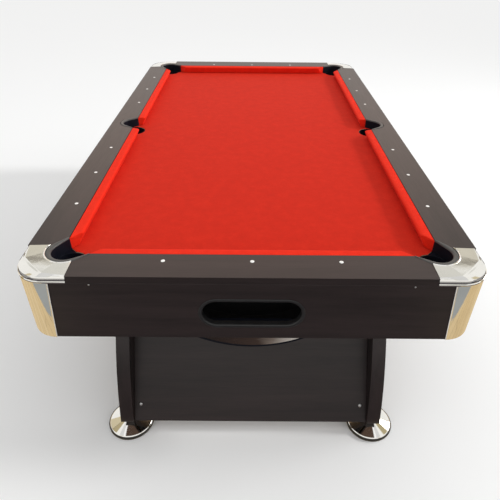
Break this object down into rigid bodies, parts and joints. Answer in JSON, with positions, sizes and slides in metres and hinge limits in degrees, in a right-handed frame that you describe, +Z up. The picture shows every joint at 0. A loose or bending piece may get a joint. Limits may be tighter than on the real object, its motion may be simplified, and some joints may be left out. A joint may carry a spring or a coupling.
{
  "type": "pool table",
  "caption": "Cloth-covered playing bed with six pockets, cushioned rails, an internal ball return to a slot at one end, splayed panel legs and levelling feet.",
  "frame": {"origin": "on the floor, under the centre of the table, with the feet screwed fully in", "axes": "+Z up, +Y along the table away from the end with the ball-return slot, +X to the right as seen from that end"},
  "size_m": [1.408, 2.508, 0.822],
  "materials": {
    "laminate": "dark brown wood-grain laminate, satin",
    "board": "raw fibreboard and softwood, matt",
    "cloth": "red woven billiard cloth",
    "chrome": "bright chrome plating",
    "pocket_plastic": "dark grey moulded plastic, satin",
    "gutter_plastic": "black moulded plastic",
    "sight": "white polished",
    "steel": "zinc-plated",
    "pad_rubber": "black, moulded"
  },
  "bodies": {
    "table": {"bed_panel": "board", "bed_beams": "board", "corner_blocks": "board", "leg_cleats": "board", "bed_cloth": "cloth", "cushion_front": "cloth", "cushion_rear": "cloth", "cushion_left_front": "cloth", "cushion_left_rear": "cloth", "cushion_right_front": "cloth", "cushion_right_rear": "cloth", "rail_left": "laminate", "rail_right": "laminate", "rail_front": "laminate", "rail_rear": "laminate", "apron_front": "laminate", "apron_rear": "laminate", "apron_left": "laminate", "apron_right": "laminate", "ball_box_front": "laminate", "leg_panel_front": "laminate", "leg_panel_rear": "laminate", "leg_front_left": "laminate", "leg_front_right": "laminate", "leg_rear_left": "laminate", "leg_rear_right": "laminate", "sights": "sight", "pocket_front_left": "pocket_plastic", "pocket_front_right": "pocket_plastic", "pocket_rear_left": "pocket_plastic", "pocket_rear_right": "pocket_plastic", "pocket_side_left": "pocket_plastic", "pocket_side_right": "pocket_plastic", "slot_bezel": "pocket_plastic", "corner_cap_front_left": "chrome", "corner_cap_front_right": "chrome", "corner_cap_rear_left": "chrome", "corner_cap_rear_right": "chrome", "corner_post_front_left": "chrome", "corner_post_front_right": "chrome", "corner_post_rear_left": "chrome", "corner_post_rear_right": "chrome", "ball_box": "gutter_plastic", "gutter_left": "gutter_plastic", "gutter_right": "gutter_plastic", "apron_screws": "steel", "panel_bolts": "steel", "leg_nuts": "steel"},
    "foot_front_left": {"foot_dish_front_left": "chrome", "foot_pad_front_left": "pad_rubber"},
    "foot_front_right": {"foot_dish_front_right": "chrome", "foot_pad_front_right": "pad_rubber"},
    "foot_rear_left": {"foot_dish_rear_left": "chrome", "foot_pad_rear_left": "pad_rubber"},
    "foot_rear_right": {"foot_dish_rear_right": "chrome", "foot_pad_rear_right": "pad_rubber"},
    "stem_front_left": {"foot_stem_front_left": "steel"},
    "stem_front_right": {"foot_stem_front_right": "steel"},
    "stem_rear_left": {"foot_stem_rear_left": "steel"},
    "stem_rear_right": {"foot_stem_rear_right": "steel"}
  },
  "joints": [
    {"name": "foot_front_left_screw_out", "type": "slide", "parent": "table", "child": "foot_front_left", "axis": [0, 0, -1], "range_m": [0, 0.02]},
    {"name": "stem_front_left_turn", "type": "hinge", "parent": "foot_front_left", "child": "stem_front_left", "pos_m": [-0.475, -1.142, 0.06], "axis": [0, 0, 1], "range_deg": [0, 3600.1]},
    {"name": "foot_front_right_screw_out", "type": "slide", "parent": "table", "child": "foot_front_right", "axis": [0, 0, -1], "range_m": [0, 0.02]},
    {"name": "stem_front_right_turn", "type": "hinge", "parent": "foot_front_right", "child": "stem_front_right", "pos_m": [0.475, -1.142, 0.06], "axis": [0, 0, 1], "range_deg": [0, 3600.1]},
    {"name": "foot_rear_left_screw_out", "type": "slide", "parent": "table", "child": "foot_rear_left", "axis": [0, 0, -1], "range_m": [0, 0.02]},
    {"name": "stem_rear_left_turn", "type": "hinge", "parent": "foot_rear_left", "child": "stem_rear_left", "pos_m": [-0.475, 1.142, 0.06], "axis": [0, 0, 1], "range_deg": [0, 3600.1]},
    {"name": "foot_rear_right_screw_out", "type": "slide", "parent": "table", "child": "foot_rear_right", "axis": [0, 0, -1], "range_m": [0, 0.02]},
    {"name": "stem_rear_right_turn", "type": "hinge", "parent": "foot_rear_right", "child": "stem_rear_right", "pos_m": [0.475, 1.142, 0.06], "axis": [0, 0, 1], "range_deg": [0, 3600.1]}
  ],
  "couplings": [
    {"joint": "stem_front_left_turn", "follows": "foot_front_left_screw_out", "rad_per_m": 3141.6},
    {"joint": "stem_front_right_turn", "follows": "foot_front_right_screw_out", "rad_per_m": 3141.6},
    {"joint": "stem_rear_left_turn", "follows": "foot_rear_left_screw_out", "rad_per_m": 3141.6},
    {"joint": "stem_rear_right_turn", "follows": "foot_rear_right_screw_out", "rad_per_m": 3141.6}
  ]
}
